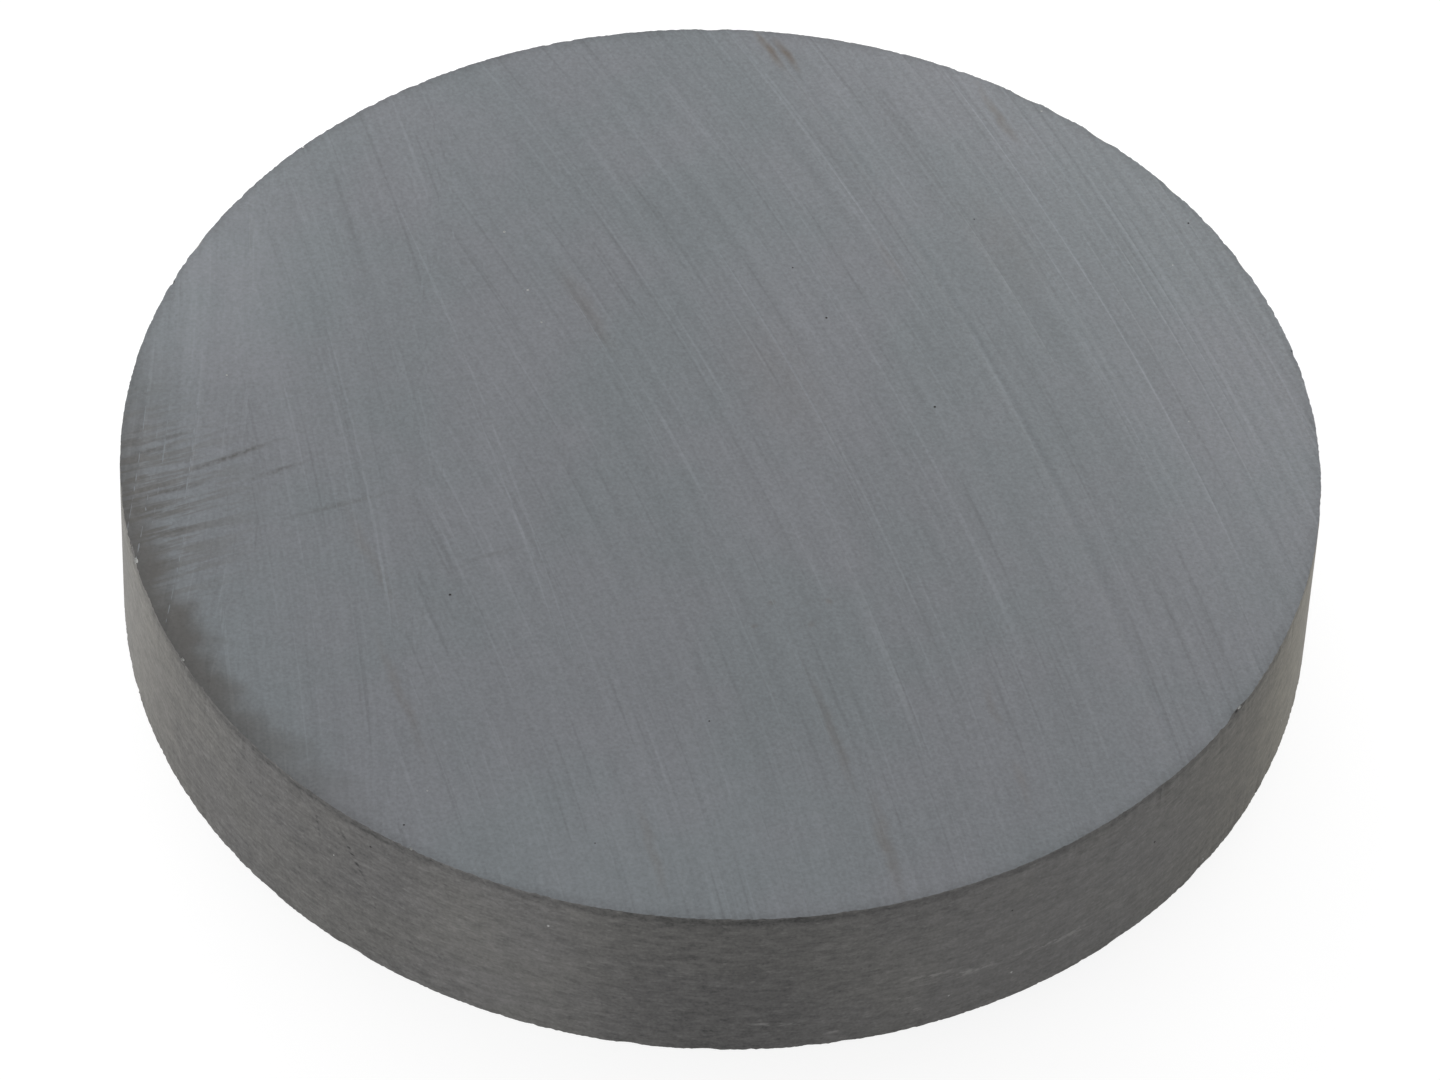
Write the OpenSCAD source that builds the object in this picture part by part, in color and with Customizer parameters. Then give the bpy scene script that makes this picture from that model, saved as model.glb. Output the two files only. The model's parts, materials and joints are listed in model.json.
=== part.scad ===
// Holding magnet: one plain disc of hard ferrite, pressed, sintered and magnetised through its thickness.
// Both pole faces are ground flat, the rim is left as fired, and the brittle edges are a little chipped.
// Millimetres. The origin is the middle of the bottom pole face, and +Z runs through the disc to the top one.

/* [Disc] */
// Outer diameter of the rim
disc_d = 30; // [12:0.5:80]
// Thickness between the two ground pole faces
disc_t = 5; // [2:0.25:20]

/* [Edges] */
// Radius worn on the edge between the rim and the top pole face
top_edge_r = 0.12; // [0.05:0.01:0.6]
// Radius worn on the edge between the rim and the bottom pole face
bottom_edge_r = 0.1; // [0.05:0.01:0.6]

/* [Chips] */
// Length along the edge of the largest chip
chip_len = 1.1; // [0.4:0.05:3]
// Depth of the largest chip below the worn edge
chip_depth = 0.07; // [0.03:0.01:0.3]

/* [Hidden] */

$fn = 180;

disc_r = disc_d / 2;

// Chips in each edge: degrees round the disc from +X, and size as a share of the largest chip
top_chips = [
    [60, 0.9], [56, 0.7], [51, 1.0], [41, 0.6], [29, 0.8], [93, 0.6], [155, 0.7], [196, 0.8], [329, 0.9]
];
bottom_chips = [
    [325, 1.0], [313, 0.6], [284, 0.6], [271, 0.7], [264, 0.6], [236, 0.8], [225, 0.6], [80, 0.7], [150, 0.6]
];

// Half section of the disc: a rectangle with its two outer corners rounded
module disc_section() {
    translate([0, bottom_edge_r])
        square([disc_r, disc_t - top_edge_r - bottom_edge_r]);
    square([disc_r - bottom_edge_r, disc_t / 2]);
    translate([0, disc_t / 2])
        square([disc_r - top_edge_r, disc_t / 2]);
    translate([disc_r - bottom_edge_r, bottom_edge_r])
        circle(bottom_edge_r, $fn = 48);
    translate([disc_r - top_edge_r, disc_t - top_edge_r])
        circle(top_edge_r, $fn = 48);
}

// One shell-shaped chip out of a worn edge: the ball that cuts the chip's length and depth,
// set off from the middle of the rounded edge along the slope that halves the corner.
// Up is 1 for the top edge and -1 for the bottom one.
module edge_chip(angle, share, edge_r, edge_z, up) {
    depth = chip_depth * share;
    ball_r = (pow(chip_len * share / 2, 2) + pow(depth, 2)) / (2 * depth);
    reach = edge_r + ball_r - depth;
    rotate([0, 0, angle])
        translate([disc_r - edge_r + reach * cos(45), 0, edge_z - up * edge_r + up * reach * sin(45)])
            sphere(ball_r, $fn = 64);
}

// The whole magnet, one sintered piece
module ferrite_disc() {
    color([0.47, 0.48, 0.49])
        difference() {
            rotate_extrude()
                disc_section();
            for (chip = top_chips)
                edge_chip(chip[0], chip[1], top_edge_r, disc_t, 1);
            for (chip = bottom_chips)
                edge_chip(chip[0], chip[1], bottom_edge_r, 0, -1);
        }
}

ferrite_disc();
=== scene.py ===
import functools
import json
import math
import random

import bmesh
import bpy
from mathutils import Matrix, Vector


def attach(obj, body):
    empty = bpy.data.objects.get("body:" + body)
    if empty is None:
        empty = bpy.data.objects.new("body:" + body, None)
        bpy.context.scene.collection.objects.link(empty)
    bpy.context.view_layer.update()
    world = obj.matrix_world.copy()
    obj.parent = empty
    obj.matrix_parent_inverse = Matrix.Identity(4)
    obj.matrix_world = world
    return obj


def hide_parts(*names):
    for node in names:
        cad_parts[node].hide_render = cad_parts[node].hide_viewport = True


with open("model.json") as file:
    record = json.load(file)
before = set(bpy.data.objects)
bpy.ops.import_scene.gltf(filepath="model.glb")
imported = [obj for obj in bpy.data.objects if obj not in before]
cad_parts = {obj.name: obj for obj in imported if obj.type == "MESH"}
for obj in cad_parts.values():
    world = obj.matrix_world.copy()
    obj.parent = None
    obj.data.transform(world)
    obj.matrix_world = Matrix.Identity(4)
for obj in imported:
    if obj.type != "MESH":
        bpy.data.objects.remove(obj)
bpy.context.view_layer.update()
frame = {"record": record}

# Sizes. The disc is modelled in millimetres, with its bottom face at zero, and made metres at the end
MM = 0.001
mounts = {mount["name"]: mount for mount in frame["record"]["mounts"]}
RADIUS = mounts["rim"]["dims"]["r_mm"]
THICKNESS = mounts["top_pole_face"]["pos_m"][2] / MM

# The blank as it is pressed and fired: thicker by what grinding takes off each face, with rounded shoulders
GRINDING_STOCK = 0.2
SHOULDER = 0.36
SHOULDER_ROWS = 8
SHOULDER_PROFILE = 0.7
RIM_STEPS = 1440
RIM_ROWS = 6

# Crumble of the edges, coarse and fine: the flakes' size, their depth and how few they are
FLAKES = ((0.75, 0.05, 1.5), (0.2, 0.085, 1.0))
# The rim's waver: its length and its depth
WAVER = (4.0, 0.006)

# Grinding. Each face is swept by a wheel whose middle lies off the disc, which leaves a lay of arcs.
# Later sweeps came back over the left of the top face, each up to a place along X
TOP_WHEEL = (-77, -34)
LATER_WHEELS = (((-110, -24), -7.5), ((-90, 1), -12.0))
BOTTOM_WHEEL = (69, -52)
WHEEL_ROWS = 430
WHEEL_STEPS = 22
WHEEL_OVERLAP = 1
GRIT_HEIGHT = 0.005
DEEP_GRIT_HEIGHT = 0.012
DEEP_GRIT_SHARE = 0.07

# How far the border of a later sweep wanders, and how far its lines fray
BORDER_WAVER = 1.5
BORDER_FRAY = 3.0

# Belts of coarse grains: where each starts and ends, outwards from the arc of the lay through the disc's
# middle, then its number of grains and its seed
TOP_BELT = (-4, 14, 24, 5)
BOTTOM_BELT = (-14, 14, 30, 7)
# A later sweep's belt ends at the sweep's own border: its width, and its number of grains
LATER_BELT = (3.5, 9)

# Long scratches of single coarse grains: the middle they turn about, both ends, the width and the depth
LONG_SCRATCHES = [
    (TOP_WHEEL, (-2.0, 17.6), (5.4, 4.2), 0.09, 0.007),
    (TOP_WHEEL, (-1.3, 8.5), (4.2, -2.6), 0.08, 0.006),
    (TOP_WHEEL, (4.6, 16.0), (12.6, -3.2), 0.10, 0.009),
    (TOP_WHEEL, (-4.7, 6.7), (-0.7, -2.0), 0.08, 0.006),
]
LATER_SCRATCHES = [
    ((-140, -46), (-9.7, 10.7), (-2.8, -8.9), 0.09, 0.009),
    ((-140, -46), (-7.0, 3.2), (-3.4, -7.6), 0.08, 0.007),
    ((-110, -24), (-10.5, 5.0), (-7.5, -8.3), 0.10, 0.008),
    ((-90, 1), (-13.2, 4.4), (-13.3, -3.0), 0.08, 0.005),
]
# Dark rubs near the left of the rim: their middle, their length, their turn in degrees and how dark they are
RUB_TURN = 23
RUB_WIDTH = 0.2
# A mark fades towards its ends, so it is laid out a little longer than half its length each way
FADE = 0.6
RUBS = [
    ((-14.5, 0.0), 0.6, 11, 0.6),
    ((-13.8, -0.3), 1.2, 23, 0.5),
    ((-14.3, -0.8), 1.0, 21, 0.6),
    ((-13.9, -0.7), 0.8, 19, 0.5),
    ((-12.2, -0.85), 3.0, 29, 0.75),
    ((-11.1, -1.3), 2.0, 27, 0.55),
    ((-13.4, -2.0), 1.7, 21, 0.65),
    ((-9.4, -2.3), 3.2, 22, 0.35),
    ((-13.4, -3.4), 1.7, 20, 0.55),
    ((-13.8, -4.0), 1.0, 18, 0.6),
    ((-13.6, -4.5), 1.0, 21, 0.6),
    ((-13.1, -6.2), 0.8, 27, 0.6),
    ((-13.9, -5.2), 1.2, 24, 0.5),
    ((-5.5, -3.7), 1.9, 24, 0.2),
]

# Pinholes and pale grains in the top face, in millimetres from its middle
PINHOLES = [
    (11.7, 8.7), (6.2, 8.5), (1.6, 6.5), (2.5, 4.8), (-6.5, -5.1), (-7.2, -12.5), (-2.6, -12.8), (0.0, -8.8),
    (5.3, 1.9),
]
PALE_GRAINS = [
    (-12.5, 1.9), (11.3, 7.2), (11.7, 1.8), (-5.8, 7.3), (-5.1, 5.3), (-4.7, 4.2), (-6.7, -11.4), (7.9, 12.5)
]
PINHOLE_SIZE = 0.028
# Pits and pale grains in the rim, as degrees round from +X and height
RIM_PITS = [(-122.2, 4.34), (-137.5, 3.5), (-96.0, 2.2), (-60.0, 3.4), (-43.0, 2.9)]
RIM_GRAINS = [(-104.0, 3.94), (-18.0, 1.16), (-34.6, 0.28), (-126.5, 3.2), (-66.0, 0.9), (-59.5, 0.95)]
# Nicks along the top edge, as degrees round from +X and size: dark ones, and pale ones, which are pale dust
# and painted glints where the edge catches the light
DARK_NICKS = [(60.7, 0.07), (160.5, 0.07), (149.0, 0.04), (75.0, 0.04), (17.0, 0.05), (329.0, 0.04)]
PALE_DUST_AND_GLINT_NICKS = [
    (197.3, 0.085), (210.5, 0.065), (242.1, 0.055), (138.1, 0.05), (49.4, 0.05), (329.6, 0.05),
    (271.0, 0.035), (305.0, 0.035), (190.2, 0.03), (193.4, 0.035), (195.5, 0.035), (207.3, 0.03),
    (221.0, 0.025), (228.0, 0.03),
]
NICK_INSET = 0.05
NICK_DROP = 0.03

# Chips in each edge, where the part's source has them: degrees round from +X, and share of the largest one.
# The flakes above wear the edge too, so that a chip goes less deep here, and the edge itself is sharper
CHIP_LENGTH = 1.1
CHIP_DEPTH = 0.05
EDGE = 0.04
TOP_CHIPS = [
    (60, 0.9), (56, 0.7), (51, 1.0), (41, 0.6), (29, 0.8), (93, 0.6), (155, 0.7), (196, 0.8), (329, 0.9)
]
BOTTOM_CHIPS = [
    (325, 1.0), (313, 0.6), (284, 0.6), (271, 0.7), (264, 0.6), (236, 0.8), (225, 0.6), (80, 0.7), (150, 0.6)
]

# Stains on the top face: the middle, half the width across the lay, half the length along it, and strength
STAINS = [
    ((0.8, 14.15), 0.2, 0.9, 1.0),
    ((1.2, 14.2), 0.2, 0.8, 1.0),
    ((6.8, 12.2), 0.2, 1.3, 0.6),
    ((-3.6, 4.8), 0.35, 2.4, 0.3),
    ((4.1, 6.9), 0.25, 1.4, 0.2),
    ((-8.5, -4.0), 0.25, 3.0, 0.25),
    ((-7.5, -8.4), 0.2, 3.4, 0.3),
    ((3.0, -8.9), 0.2, 2.8, 0.35),
    ((4.4, -12.6), 0.25, 2.2, 0.45),
    ((-1.2, -13.0), 0.25, 2.2, 0.3),
    ((1.4, -4.8), 0.14, 0.16, 0.45),
    ((2.8, -4.8), 0.14, 0.16, 0.45),
    ((2.4, -5.7), 0.13, 0.2, 0.45),
    ((1.0, -5.8), 0.13, 0.16, 0.45),
    ((6.9, -7.9), 0.2, 0.9, 0.3),
    ((7.6, -10.3), 0.2, 1.0, 0.3),
    ((1.4, 2.6), 1.6, 3.2, 0.16),
    ((7.0, 7.6), 1.2, 2.6, 0.14),
]
# How far the stains are shaken off the lay
SHAKE = 0.4
# Grime at the left of the top face, first smears and then where the band along the rim lies: the middle of
# each, half its size, and its strength
GRIME = [((-15.3, -3.0, 0), (4.8, 5.6, 100), 0.85), ((-13.5, -6.5, 0), (9, 11, 100), 0.95)]
# Painted light on the top face, in paler pools where the light falls: the middle, half the size and strength
# of each, and its weight in the tone
TOP_PAINTED_LIGHT = [
    (((-1.5, -12.8, 5), (9, 4.5, 100), 1.0), 0.12),
    (((-12.8, 4.8, 5), (4, 4.5, 100), 1.0), 0.14),
    (((12.8, 0.0, 5), (4, 6, 100), 1.0), 0.06),
]
# Painted light and shade round the rim, darker at the front and paler towards the lit left and right, given
# in the same way
RIM_PAINTED_LIGHT_AND_SHADE = [
    (((0.6, -15, 2.5), (4.6, 5, 8), 1.0), -0.28),
    (((-4.6, -14.3, 2.2), (3.5, 5, 8), 1.0), 0.26),
    (((8.6, -12.3, 2.2), (7.5, 6.5, 8), 1.0), 0.27),
    (((-8.5, -12.5, 3.0), (4.5, 4.5, 8), 1.0), -0.06),
    (((-14.4, -4.4, 2.5), (3.0, 4, 8), 1.0), 0.38),
    (((14.7, -3.2, 2.5), (3.4, 5, 8), 1.0), 0.52),
]
# Where the rim is browner, at its left and right: the middle, half the size and strength of each
RIM_BROWNS = [((-15, -5, 2.5), (6, 7, 12), 0.4), ((15, -4, 2.5), (8, 9, 12), 1.0)]
# Broken lines scraped along the rim: degrees round from +X, height, length, breadth, lean and weight
RIM_LINES = [
    (-124.2, 3.6, 2.3, 0.16, -61, -1.0),
    (-128.4, 3.9, 1.4, 0.1, -80, -0.5),
    (-82.4, 0.95, 2.2, 0.2, -6, 1.1),
    (-68.2, 1.9, 1.6, 0.24, -3, 1.1),
    (-65.0, 1.62, 2.6, 0.3, -3, 1.1),
    (-55.5, 1.45, 3.0, 0.3, -6, 1.2),
    (-62.9, 2.1, 0.4, 0.14, 0, 1.1),
    (-70.5, 1.3, 0.6, 0.16, 0, 1.0),
    (-69.6, 0.7, 0.8, 0.16, 0, 1.2),
    (-77.3, 0.45, 0.8, 0.14, 0, 1.0),
    (-114.0, 2.9, 3.0, 1.3, 0, 0.3),
    (-91.0, 3.1, 2.0, 0.9, 0, 0.2),
]

# Height of the ceramic's own grain, in millimetres
RELIEF = 0.003


# Modelling helpers


def use(obj):
    """Makes one object the only selected one, and the active one."""
    bpy.ops.object.select_all(action="DESELECT")
    obj.select_set(True)
    bpy.context.view_layer.objects.active = obj


def edit(obj):
    """Opens one object in edit mode."""
    use(obj)
    bpy.ops.object.mode_set(mode="EDIT")


def pick(obj, kind, test):
    """In edit mode, selects only the vertices, edges or faces that pass the test."""
    bpy.ops.mesh.select_mode(type=kind)
    bpy.ops.mesh.select_all(action="DESELECT")
    mesh = bmesh.from_edit_mesh(obj.data)
    for item in {"VERT": mesh.verts, "EDGE": mesh.edges, "FACE": mesh.faces}[kind]:
        item.select_set(test(item))
    bmesh.update_edit_mesh(obj.data)


def settle(obj):
    """Makes the object's place, turn and size part of its mesh."""
    use(obj)
    bpy.ops.object.transform_apply(location=True, rotation=True, scale=True)


def modify(obj, kind, **settings):
    """Adds a modifier and applies it."""
    use(obj)
    modifier = obj.modifiers.new(kind.title(), kind)
    for name, value in settings.items():
        setattr(modifier, name, value)
    bpy.ops.object.modifier_apply(modifier=modifier.name)


def merge(pieces, finish):
    """Joins the pieces of one tool, with the finish that its cuts leave."""
    bpy.ops.object.select_all(action="DESELECT")
    for piece in pieces:
        piece.select_set(True)
    bpy.context.view_layer.objects.active = pieces[0]
    bpy.ops.object.join()
    tool = bpy.context.object
    settle(tool)
    tool.data.materials.append(finish)
    return tool


def cut(obj, tool):
    """Takes the tool's shape out of the object. The faces that it leaves keep the tool's material."""
    modify(obj, "BOOLEAN", operation="DIFFERENCE", object=tool, solver="MANIFOLD", material_mode="TRANSFER")
    bpy.data.objects.remove(tool)


def sweep(section, steps, angle, middle, axis=(0, 0, 1)):
    """Spins a flat section about an axis into a closed solid."""
    edit(section)
    bpy.ops.mesh.select_all(action="SELECT")
    bpy.ops.mesh.spin(steps=steps, angle=angle, center=middle, axis=axis)
    bpy.ops.mesh.select_all(action="SELECT")
    bpy.ops.mesh.normals_make_consistent(inside=False)
    bpy.ops.object.mode_set(mode="OBJECT")


# Material helpers


def shade(hex_colour):
    """An sRGB hex colour as Blender's linear one."""
    parts = [int(hex_colour[k:k + 2], 16) / 255 for k in (1, 3, 5)]
    return [c / 12.92 if c <= 0.04045 else ((c + 0.055) / 1.055) ** 2.4 for c in parts] + [1.0]


def add(tree, kind, inputs=None, out=0, **settings):
    """Adds a node with its settings, feeds its inputs by name or number, and returns one output, or all."""
    node = tree.nodes.new("ShaderNode" + kind)
    for name, value in settings.items():
        setattr(node, name, value)
    for name, value in (inputs or {}).items():
        if isinstance(value, bpy.types.NodeSocket):
            tree.links.new(value, node.inputs[name])
        else:
            node.inputs[name].default_value = value
    return node.outputs if out is None else node.outputs[out]


def new_material(name):
    """An empty material, and the function that adds nodes to it."""
    made = bpy.data.materials.new(name)
    made.use_nodes = True
    made.node_tree.nodes.clear()
    return made, functools.partial(add, made.node_tree)


def in_mm(node):
    """The place on the disc in millimetres."""
    place = node("TexCoord", out="Object")
    return node("VectorMath", {0: place, 1: (1 / MM, 1 / MM, 1 / MM)}, operation="MULTIPLY")


def round_middle(node, place, middle, reach):
    """The place as its distance from a middle, its way round it at this reach, and its height."""
    offset = node("VectorMath", {0: place, 1: (*middle, 0)}, operation="SUBTRACT")
    flat = node("VectorMath", {0: offset, 1: (1, 1, 0)}, operation="MULTIPLY")
    across = node("VectorMath", {0: flat}, operation="LENGTH", out="Value")
    x, y, z = node("SeparateXYZ", {0: offset}, out=None)
    turn = node("Math", {0: y, 1: x}, operation="ARCTAN2")
    around = node("Math", {0: turn, 1: reach}, operation="MULTIPLY")
    return node("CombineXYZ", {0: across, 1: around, 2: z})


def local_place(node, place, middle, size, turn=(0, 0, 0)):
    """The place measured from a middle, turned by some degrees, in shares of a size each way."""
    rotation = [math.radians(part) for part in turn]
    inputs = {"Vector": place, "Location": middle, "Rotation": rotation, "Scale": size}
    return node("Mapping", inputs, vector_type="TEXTURE")


def noise(node, place, size, detail=2, seed=0, turn=(0, 0, 0)):
    """Cloudy noise from 0 to 1, with clouds of this size each way in millimetres."""
    local = local_place(node, place, (seed, 2 * seed, seed), size, turn)
    return node("TexNoise", {"Vector": local, "Scale": 1, "Detail": detail})


def ramp(node, value, low, high, to_low=0.0, to_high=1.0):
    """Maps one range of a value softly to another."""
    limits = {"Value": value, "From Min": low, "From Max": high, "To Min": to_low, "To Max": to_high}
    return node("MapRange", limits, interpolation_type="SMOOTHSTEP")


def patch(node, place, middle, size, strength=1.0, turn=(0, 0, 0)):
    """A soft spot: its strength in the middle, and nothing from its size outwards."""
    local = local_place(node, place, middle, size, turn)
    away = node("VectorMath", {0: local}, operation="LENGTH", out="Value")
    return ramp(node, away, 1.0, 0.1, 0.0, strength)


def strongest(node, values):
    """The highest of some values, and nothing if there are none."""
    highest = 0.0
    for value in values:
        highest = node("Math", {0: value, 1: highest}, operation="MAXIMUM")
    return highest


def total(node, parts, start=0.0):
    """Adds up values, each times its weight."""
    for value, weight in parts:
        start = node("Math", {0: value, 1: weight, 2: start}, operation="MULTIPLY_ADD")
    return start


def blend(node, share, low, high):
    """Goes from one colour to another by a share from 0 to 1."""
    return node("Mix", {0: share, 6: low, 7: high}, out=2, data_type="RGBA")


def finish_ceramic(node, colour, tone, height, roughness):
    """The fired ceramic's own shader: colour times tone, and a fine relief."""
    tinted = node("Mix", {0: 1.0, 6: colour, 7: tone}, out=2, data_type="RGBA", blend_type="MULTIPLY")
    relief = node("Bump", {"Height": height, "Distance": RELIEF * MM, "Strength": 1.0})
    shader = node(
        "BsdfPrincipled", {"Base Color": tinted, "Roughness": roughness, "IOR": 1.7, "Normal": relief}
    )
    node("OutputMaterial", {"Surface": shader}, out=None)


# Materials


def ground_ferrite(name, sweeps, stains=(), grime=(), painted_light=(), lighter=0.0):
    """Hard ferrite cut by a diamond wheel: a satin grey with fine arcs, brown stains, rubs, a face darker
    towards its edge, and paler pools of painted light.
    """
    made, node = new_material(name)
    place = in_mm(node)
    x = node("SeparateXYZ", {0: place})
    waver = noise(node, place, (1.1, 1.1, 1.1))

    # Where the wheel came back over the left of the face, the marks of its later sweeps take over
    grain = noise(node, place, (0.08, 0.08, 0.08), 1, 2)
    border = total(node, [(waver, BORDER_WAVER), (noise(node, place, (0.15, 2.5, 1), 1, 4), BORDER_FRAY)], x)
    wander = (BORDER_WAVER + BORDER_FRAY) / 2
    wheel = sweeps[0][0]
    reach = math.hypot(*wheel)
    first_lay = lay = round_middle(node, place, wheel, reach)
    for later_wheel, edge in sweeps[1:]:
        here = node("Math", {0: border, 1: edge + wander}, operation="LESS_THAN")
        later = round_middle(node, place, later_wheel, math.hypot(*later_wheel))
        lay = node("Mix", {0: here, 4: lay, 5: later}, out=1, data_type="VECTOR")

    # Marks of the grit, which the eye takes as a brushed grain that curves a little
    fine = noise(node, lay, (0.08, 3.0, 20), 3)
    bright = ramp(node, noise(node, lay, (0.12, 9, 20), 1, 11), 0.62, 0.74)
    dark = ramp(node, noise(node, lay, (0.16, 8, 20), 1, 23), 0.62, 0.74)
    wide = noise(node, lay, (0.35, 14, 20), 3, 5)

    # Clouds of bluish and brownish grey, from uneven firing and handling
    clouds = noise(node, place, (4.5, 4.5, 4.5), 3, 7)
    colour = blend(node, ramp(node, clouds, 0.35, 0.65), shade("#6c7276"), shade("#6e7176"))

    # Stains, mottled, that follow the lay
    shake = node("CombineXYZ", {0: node("Math", {0: waver, 1: SHAKE}, operation="MULTIPLY"), 1: waver})
    shaken = node("VectorMath", {0: first_lay, 1: shake}, operation="ADD")
    spots = []
    for (stain_x, stain_y), half_width, half_length, strength in stains:
        from_wheel = Vector((stain_x - wheel[0], stain_y - wheel[1]))
        along = math.atan2(from_wheel.y, from_wheel.x) * reach
        middle = (from_wheel.length + SHAKE / 2, along + 0.5, 0)
        spots.append(patch(node, shaken, middle, (half_width, half_length, 100), strength))
    dirt = strongest(node, spots)
    mottle = ramp(node, noise(node, place, (0.35, 0.35, 0.35), 3, 3), 0.35, 0.62, 0.6, 1.0)
    colour = blend(node, node("Math", {0: dirt, 1: mottle}, operation="MULTIPLY"), colour, shade("#5a524b"))

    # Rubs and grime at the left, in streaks that break up, and in a band along the rim there
    flat = node("VectorMath", {0: place, 1: (1, 1, 0)}, operation="MULTIPLY")
    out = node("VectorMath", {0: flat}, operation="LENGTH", out="Value")
    if grime:
        smeared, banded = [patch(node, place, *spot) for spot in grime]
        streaks = ramp(node, noise(node, place, (1.4, 0.14, 50), 3, 31, (0, 0, RUB_TURN)), 0.44, 0.6)
        rubs = strongest(node, [
            patch(node, place, (*middle, 0), (FADE * length, FADE * RUB_WIDTH, 100), strength, (0, 0, turn))
            for middle, length, turn, strength in RUBS
        ])
        breaks = ramp(node, noise(node, place, (0.12, 0.12, 0.12), 2, 12), 0.36, 0.6, 0.35, 1.0)
        band = ramp(node, total(node, [(waver, 1.4)], out), RADIUS - 0.5, RADIUS + 0.5)
        for spread, pattern, dirt_colour in (
            (smeared, streaks, "#4f4c47"), (rubs, breaks, "#3e3b37"), (banded, band, "#464441"),
        ):
            share = node("Math", {0: spread, 1: pattern}, operation="MULTIPLY")
            colour = blend(node, share, colour, shade(dirt_colour))

    # The face is darker towards the rim over its last third of a millimetre
    edge = ramp(node, total(node, [(waver, 0.35)], out), RADIUS - 0.2, RADIUS + 0.24)
    tone = total(node, [
        (fine, 0.25), (bright, 0.13), (dark, -0.13), (wide, 0.25), (grain, 0.56), (clouds, 0.2),
        (edge, -0.22),
        # painted light: paler pools on the top face
        *[(patch(node, place, *spot), weight) for spot, weight in painted_light],
    ], 0.36 + lighter)
    roughness = total(node, [(fine, 0.08), (clouds, 0.1), (dirt, 0.1)], 0.38)
    finish_ceramic(node, colour, tone, grain, roughness)
    return made


def fired_ferrite(name):
    """The rim as it leaves the kiln: browner and duller than the ground faces, with specks and scrapes, and
    painted light and shade round it.
    """
    made, node = new_material(name)
    place = in_mm(node)
    unrolled = round_middle(node, place, (0, 0), RADIUS)
    z = node("SeparateXYZ", {0: place}, out="Z")
    mottle = noise(node, place, (0.5, 0.5, 0.3), 4)
    clouds = noise(node, place, (3.5, 3.5, 2.5), 2, 9)
    streaks = noise(node, unrolled, (20, 0.4, 0.1), 3, 4)
    grain = noise(node, place, (0.08, 0.08, 0.08), 2, 6)
    dashes = ramp(node, noise(node, unrolled, (20, 0.22, 0.06), 1, 15), 0.6, 0.74)
    scraped = ramp(node, noise(node, unrolled, (20, 0.3, 0.08), 2, 27), 0.42, 0.6)
    specks = ramp(node, noise(node, place, (0.16, 0.16, 0.1), 1, 21), 0.66, 0.76)
    brown = strongest(node, [patch(node, place, *spot) for spot in RIM_BROWNS])
    colour = blend(node, ramp(node, clouds, 0.4, 0.6), shade("#636261"), shade("#636260"))
    colour = blend(node, brown, colour, shade("#66635b"))

    # The line under the top edge where flakes broke off, ragged and dark: dust, and painted shade between the
    # flakes
    crumbs = noise(node, place, (0.2, 0.2, 0.2), 3, 17)
    below = node("Math", {0: total(node, [(crumbs, 0.3)], z), 1: THICKNESS + 0.02}, operation="SUBTRACT")
    dust_and_shade_line = ramp(node, node("Math", {0: below}, operation="ABSOLUTE"), 0.2, 0.03)

    # painted light and shade round the rim, then the rim's own scraped lines
    spots = [(patch(node, place, *spot), weight) for spot, weight in RIM_PAINTED_LIGHT_AND_SHADE]
    for degrees, height, length, breadth, lean, weight in RIM_LINES:
        middle = (RADIUS, math.radians(degrees) * RADIUS, height)
        line = patch(node, unrolled, middle, (20, FADE * length, FADE * breadth), 1.0, (lean, 0, 0))
        spots.append((node("Math", {0: line, 1: scraped}, operation="MULTIPLY"), weight))
    tone = total(node, [
        (mottle, 1.05), (clouds, 0.2), (streaks, 1.3), (grain, 1.0), (dashes, 0.34), (specks, -0.3),
        # dust and painted shade in the line under the top edge
        (dust_and_shade_line, -0.42), *spots,
    ], -0.62)
    roughness = total(node, [(mottle, 0.12), (streaks, 0.06)], 0.6)
    finish_ceramic(node, colour, tone, total(node, [(streaks, 0.5), (grain, 0.5)]), roughness)
    return made


def worn_ferrite(name):
    """The crumbled edges, where dust and shadow lie between the flakes, which draws a dark ragged line."""
    made, node = new_material(name)
    place = in_mm(node)
    flakes = noise(node, place, (0.2, 0.2, 0.2), 3)
    grain = noise(node, place, (0.06, 0.06, 0.06), 2)
    tone = total(node, [(flakes, 0.5), (grain, 0.3)], 0.6)
    finish_ceramic(node, shade("#474542"), tone, total(node, [(flakes, 1.0), (grain, 0.6)]), 0.6)
    return made


def broken_ferrite(name, colour, roughness):
    """A broken place, with the sugary look of sintered grains; the pale one is dust, and painted glints on
    the top edge.
    """
    made, node = new_material(name)
    place = in_mm(node)
    grain = noise(node, place, (0.07, 0.07, 0.07), 3)
    finish_ceramic(node, shade(colour), total(node, [(grain, 0.6)], 0.7), grain, roughness)
    return made


# The disc


def fired_blank(finish):
    """The blank: a plain cylinder with rounded shoulders, and rows of faces down its rim."""
    bpy.ops.mesh.primitive_cylinder_add(
        vertices=RIM_STEPS,
        radius=RADIUS,
        depth=THICKNESS + 2 * GRINDING_STOCK,
        location=(0, 0, THICKNESS / 2),
    )
    blank = bpy.context.object
    settle(blank)
    blank.data.materials.append(finish)
    edit(blank)
    pick(blank, "EDGE", lambda e: abs(e.verts[0].co.z - e.verts[1].co.z) < 0.5)
    bpy.ops.mesh.bevel(offset=SHOULDER, segments=SHOULDER_ROWS, profile=SHOULDER_PROFILE, affect="EDGES")
    pick(blank, "EDGE", lambda e: abs(e.verts[0].co.z - e.verts[1].co.z) > 0.5 * THICKNESS)
    bpy.ops.mesh.subdivide(number_cuts=RIM_ROWS)
    bpy.ops.object.mode_set(mode="OBJECT")
    return blank


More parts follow.
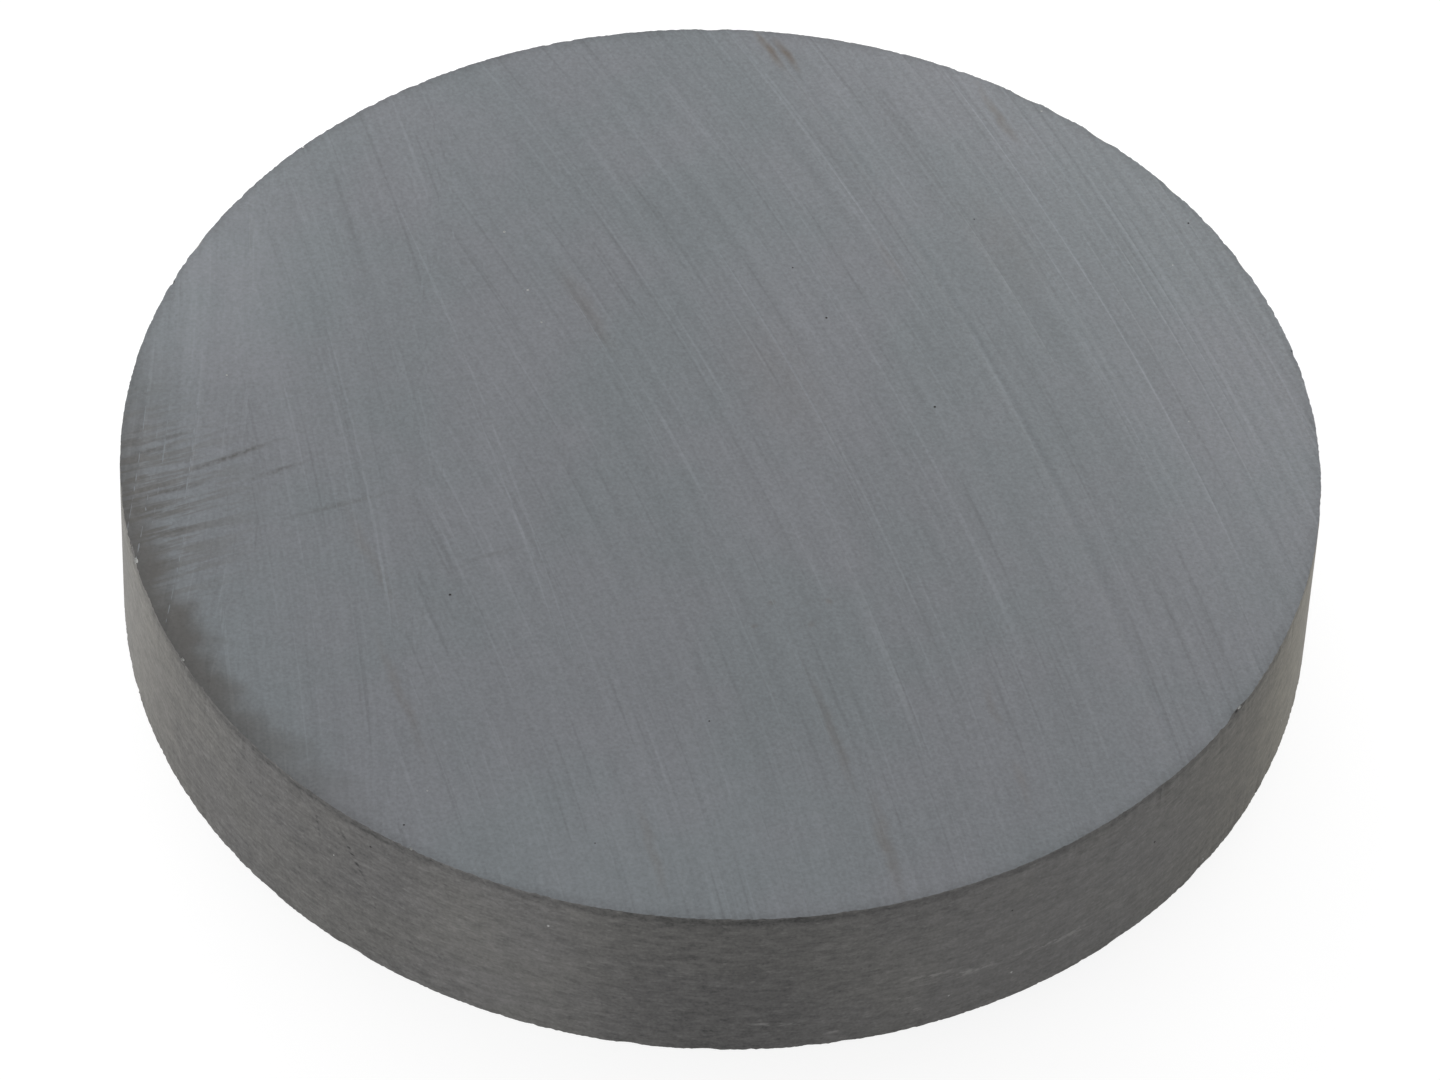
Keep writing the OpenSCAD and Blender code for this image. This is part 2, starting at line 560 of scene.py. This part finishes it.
def on_shoulder(z):
    """Whether a height lies on one of the blank's rounded shoulders."""
    reach = SHOULDER - GRINDING_STOCK + 0.001
    return z < reach or z > THICKNESS - reach


def crumble(blank):
    """Breaks small flakes off the shoulders, always inwards, and gives the rim the waver of a fired part."""
    group = blank.vertex_groups.new(name="shoulders")
    group.add([v.index for v in blank.data.vertices if on_shoulder(v.co.z)], 1.0, "REPLACE")
    for size, depth, contrast in FLAKES:
        flakes = bpy.data.textures.new("flakes", "VORONOI")
        flakes.noise_scale = size
        flakes.distance_metric = "DISTANCE_SQUARED"
        flakes.weight_1 = -1.0
        flakes.weight_2 = 1.0
        flakes.contrast = contrast
        flakes.use_clamp = True
        modify(
            blank, "DISPLACE", texture=flakes, texture_coords="LOCAL", direction="NORMAL",
            strength=-depth, mid_level=0.0, vertex_group="shoulders",
        )
    waver = bpy.data.textures.new("waver", "CLOUDS")
    waver.noise_scale, depth = WAVER
    modify(
        blank, "DISPLACE", texture=waver, texture_coords="LOCAL", direction="NORMAL",
        strength=depth, mid_level=1.0,
    )


def wheel_cut(wheel, height, up, finish, seed):
    """What the wheel takes off a face: a section with the outline of its grit, swept round its middle."""
    grit = random.Random(seed)
    reach = math.hypot(*wheel)
    width = 2 * (RADIUS + WHEEL_OVERLAP)
    half_angle = math.asin(width / 2 / reach)
    start = math.atan2(-wheel[1], -wheel[0]) + half_angle
    bpy.ops.mesh.primitive_grid_add(
        x_subdivisions=WHEEL_ROWS,
        y_subdivisions=1,
        size=1,
        location=(wheel[0] + reach * math.cos(start), wheel[1] + reach * math.sin(start), height + up / 2),
        rotation=(math.pi / 2, 0, start),
    )
    tool = bpy.context.object
    tool.scale = (width, 1, 1)
    settle(tool)
    for corner in tool.data.vertices:
        if up * (corner.co.z - height) < 0.5:
            depth = GRIT_HEIGHT * abs(grit.gauss(0, 0.5))
            if grit.random() < DEEP_GRIT_SHARE:
                depth += DEEP_GRIT_HEIGHT * grit.random()
            corner.co.z -= up * depth
    sweep(tool, WHEEL_STEPS, 2 * half_angle, (*wheel, 0))
    tool.data.materials.append(finish)
    return tool


def groove(middle, start, end, width, depth, height, up):
    """The wedge of one scratch, swept on an axis that leans, so that it dips into the face and leaves it."""
    near, far = Vector(start) - Vector(middle), Vector(end) - Vector(middle)
    half_angle = near.angle(far) / 2
    reach = (near.length + far.length) / 2
    outward = (near.normalized() + far.normalized()).normalized().to_3d()
    lean = up * depth / (reach * (1 - math.cos(half_angle)))
    axis = (Vector((0, 0, 1)) + lean * outward).normalized()
    pivot = Vector((*middle, height))
    down = Vector((0, 0, -up))
    size = Matrix.Diagonal((width / math.sin(math.pi / 3), 4 / 3 * depth, 1, 1))
    upright = Matrix((outward, down, outward.cross(down))).transposed().to_4x4()
    tip = pivot + reach * outward - depth / 3 * down
    to_start = Matrix.Translation(pivot) @ Matrix.Rotation(half_angle, 4, axis) @ Matrix.Translation(-pivot)
    bpy.ops.mesh.primitive_circle_add(vertices=3, radius=1, fill_type="NGON")
    wedge = bpy.context.object
    wedge.matrix_world = to_start @ Matrix.Translation(tip) @ upright @ size
    settle(wedge)
    sweep(wedge, max(6, round(2 * half_angle * reach)), 2 * half_angle, pivot, axis)
    return wedge


def scratches(marks, height, up, finish):
    """The wedges of several scratches in one face."""
    return merge([groove(*mark, height, up) for mark in marks], finish)


def coarse_grains(wheel, start, end, count, seed):
    """Scratches of one sweep of the wheel, spread over a belt of the face: none crosses another."""
    grain = random.Random(seed)
    to_middle = math.hypot(*wheel)
    across = math.atan2(-wheel[1], -wheel[0])
    half_face = math.asin(RADIUS / to_middle)
    marks = []
    for k in range(count):
        reach = to_middle + start + (end - start) * (k + grain.uniform(0.2, 0.8)) / count
        middle = across + grain.uniform(-0.7, 0.7) * half_face
        half = grain.uniform(0.15, 0.5) * half_face
        ends = [
            (wheel[0] + reach * math.cos(turn), wheel[1] + reach * math.sin(turn))
            for turn in (middle + half, middle - half)
        ]
        marks.append((wheel, *ends, grain.uniform(0.04, 0.07), grain.uniform(0.002, 0.005)))
    return marks


def pinholes(places, size, finish):
    """Small balls that are cut out of the disc's skin, at places given as x, y and z."""
    balls = []
    for k, middle in enumerate(places):
        bpy.ops.mesh.primitive_ico_sphere_add(
            subdivisions=2, radius=size * (1 + 0.3 * math.sin(5 * k)), location=middle, rotation=(k, 2 * k, 0)
        )
        balls.append(bpy.context.object)
    return merge(balls, finish)


def on_top(places):
    """Places on the top face."""
    return [(x, y, THICKNESS) for x, y in places]


def on_rim(places):
    """Degrees round from +X and heights as places in the rim's skin."""
    turns = [(math.radians(degrees), z) for degrees, z in places]
    return [(RADIUS * math.cos(turn), RADIUS * math.sin(turn), z) for turn, z in turns]


def nicks(marks, finish):
    """Small uneven balls that are cut out of the top edge."""
    balls = []
    for k, (degrees, size) in enumerate(marks):
        turn = math.radians(degrees)
        out = RADIUS - NICK_INSET
        bpy.ops.mesh.primitive_ico_sphere_add(
            subdivisions=2,
            radius=size,
            location=(out * math.cos(turn), out * math.sin(turn), THICKNESS - NICK_DROP),
            rotation=(0, 0, turn),
            scale=(0.6, 1.2 + 0.5 * math.sin(3 * k), 0.7),
        )
        balls.append(bpy.context.object)
    return merge(balls, finish)


def chips(marks, height, up, finish):
    """The balls that break shell-shaped chips out of one edge."""
    balls = []
    for degrees, share in marks:
        depth = CHIP_DEPTH * share
        radius = ((CHIP_LENGTH * share / 2) ** 2 + depth ** 2) / (2 * depth)
        reach = EDGE + radius - depth
        out = RADIUS - EDGE + reach * math.cos(math.pi / 4)
        turn = math.radians(degrees)
        bpy.ops.mesh.primitive_ico_sphere_add(
            subdivisions=4,
            radius=radius,
            location=(
                out * math.cos(turn),
                out * math.sin(turn),
                height + up * (reach * math.sin(math.pi / 4) - EDGE),
            ),
            rotation=(degrees, 2 * degrees, 3 * degrees),
        )
        balls.append(bpy.context.object)
    return merge(balls, finish)


def magnet_disc():
    """The disc: a blank with crumbled edges, ground on both faces, then scratched, chipped and pitted."""
    sweeps = [(TOP_WHEEL, None), *LATER_WHEELS]
    ground = ground_ferrite("sintered_ferrite_ground", sweeps, STAINS, GRIME, TOP_PAINTED_LIGHT)
    scored = ground_ferrite("sintered_ferrite_scored", sweeps, lighter=0.06)
    gouged = ground_ferrite("sintered_ferrite_deeply_scored", sweeps, lighter=0.15)
    underside = ground_ferrite("sintered_ferrite_ground_below", [(BOTTOM_WHEEL, None)])
    scored_below = ground_ferrite("sintered_ferrite_scored_below", [(BOTTOM_WHEEL, None)], lighter=0.06)
    fired = fired_ferrite("sintered_ferrite_as_fired")
    worn = worn_ferrite("sintered_ferrite_worn_edge")
    broken = broken_ferrite("sintered_ferrite_broken", "#454443", 0.6)
    pale_dust_and_glints = broken_ferrite("sintered_ferrite_pale_dust_and_glint", "#c4c5c3", 0.5)

    disc = fired_blank(fired)
    crumble(disc)
    cut(disc, wheel_cut(TOP_WHEEL, THICKNESS, 1, ground, 3))
    cut(disc, wheel_cut(BOTTOM_WHEEL, 0, -1, underside, 4))
    cut(disc, scratches(coarse_grains(TOP_WHEEL, *TOP_BELT), THICKNESS, 1, scored))
    for seed, (wheel, edge) in enumerate(LATER_WHEELS):
        belt_width, count = LATER_BELT
        end = math.hypot(wheel[0] - edge, wheel[1]) - math.hypot(*wheel)
        cut(disc, scratches(coarse_grains(wheel, end - belt_width, end, count, seed), THICKNESS, 1, scored))
    cut(disc, scratches(LONG_SCRATCHES, THICKNESS, 1, gouged))
    cut(disc, scratches(LATER_SCRATCHES, THICKNESS, 1, gouged))
    cut(disc, scratches(coarse_grains(BOTTOM_WHEEL, *BOTTOM_BELT), 0, -1, scored_below))
    cut(disc, chips(TOP_CHIPS, THICKNESS, 1, worn))
    cut(disc, chips(BOTTOM_CHIPS, 0, -1, worn))
    cut(disc, nicks(DARK_NICKS, broken))
    # pale nicks: painted glints and pale dust on the top edge
    cut(disc, nicks(PALE_DUST_AND_GLINT_NICKS, pale_dust_and_glints))
    cut(disc, pinholes(on_top(PINHOLES) + on_rim(RIM_PITS), PINHOLE_SIZE, broken))
    cut(disc, pinholes(on_top(PALE_GRAINS) + on_rim(RIM_GRAINS), PINHOLE_SIZE, pale_dust_and_glints))
    disc.name = disc.data.name = "ferrite_magnet"
    disc.scale = (MM, MM, MM)
    settle(disc)
    bpy.ops.object.shade_smooth_by_angle(angle=math.radians(28))
    return disc


disc = magnet_disc()
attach(disc, "root")
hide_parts("ferrite_disc")

# The photograph's camera, found from the disc's outline in it. Lengths are in disc radii
VIEW_TILT = 48.30
VIEW_ROLL = 2.587
VIEW_DISTANCE = 14.239
VIEW_RIGHT = 0.00763
VIEW_UP = 0.07704
LENS = 210.1
SENSOR = 36

tilt, roll = math.radians(VIEW_TILT), math.radians(VIEW_ROLL)
forward = Vector((0, math.cos(tilt), -math.sin(tilt)))
level_up = Vector((0, math.sin(tilt), math.cos(tilt)))
level_right = Vector((1, 0, 0))
right = math.cos(roll) * level_right + math.sin(roll) * level_up
upward = math.cos(roll) * level_up - math.sin(roll) * level_right
place = (VIEW_RIGHT * right + VIEW_UP * upward - VIEW_DISTANCE * forward) * RADIUS * MM
camera_data = bpy.data.cameras.new("camera")
camera_data.lens = LENS
camera_data.sensor_width = SENSOR
camera = bpy.data.objects.new("camera", camera_data)
camera.matrix_world = Matrix.Translation(place) @ Matrix((right, upward, -forward)).transposed().to_4x4()
camera_data.clip_start = 0.01
camera_data.clip_end = 10
bpy.context.collection.objects.link(camera)
bpy.context.scene.camera = camera

# Stage: a white floor, seen and mirrored as white, that gives back less light and keeps the shadow
bpy.ops.mesh.primitive_plane_add(size=2, location=(0, 0, 0))
floor = bpy.context.object
floor.name = "floor"
table, node = new_material("white_table")
path = node("LightPath", out=None)
seen = total(node, [
    (path["Is Camera Ray"], 0.8), (path["Is Glossy Ray"], 0.5), (path["Is Transmission Ray"], 0.5),
])
dull = node("BsdfDiffuse", {"Color": shade("#909090")})
glow = node("Emission", {"Color": shade("#ffffff"), "Strength": seen})
node("OutputMaterial", {"Surface": node("AddShader", {0: dull, 1: glow})}, out=None)
floor.data.materials.append(table)

# Light: an even white room, and soft cards that stand low round the disc. Each has its turn from +X in
# degrees, its distance, width and height in millimetres, and its power in watts
ROOM_LIGHT = 0.6
CARD_LIFT = 0.5
CARDS = {
    "back_right": (45, 59, 50, 37, 0.0220),
    "back_left": (135, 59, 50, 37, 0.0125),
    "left": (180, 59, 50, 37, 0.0040),
    "front_left": (225, 59, 50, 37, 0.0030),
    "near_back": (65, 36, 30, 24, 0.0034),
    "near_left": (140, 28, 26, 12, 0.0026),
    "near_front_left": (220, 36, 30, 24, 0.0010),
}

world = bpy.data.worlds.new("white_room")
bpy.context.scene.world = world
world.use_nodes = True
world.node_tree.nodes["Background"].inputs["Color"].default_value = shade("#ffffff")
world.node_tree.nodes["Background"].inputs["Strength"].default_value = ROOM_LIGHT
for name, (degrees, distance, width, height, power) in CARDS.items():
    card = bpy.data.lights.new("card_" + name, "AREA")
    card.shape = "RECTANGLE"
    card.size = width * MM
    card.size_y = height * MM
    card.energy = power
    lamp = bpy.data.objects.new("card_" + name, card)
    turn = math.radians(degrees)
    middle = height / 2 + CARD_LIFT
    lamp.location = Vector((distance * math.cos(turn), distance * math.sin(turn), middle)) * MM
    lamp.rotation_euler = (math.pi / 2, 0, turn + math.pi / 2)
    lamp.visible_camera = False
    bpy.context.collection.objects.link(lamp)

bpy.context.scene.view_settings.view_transform = "Standard"
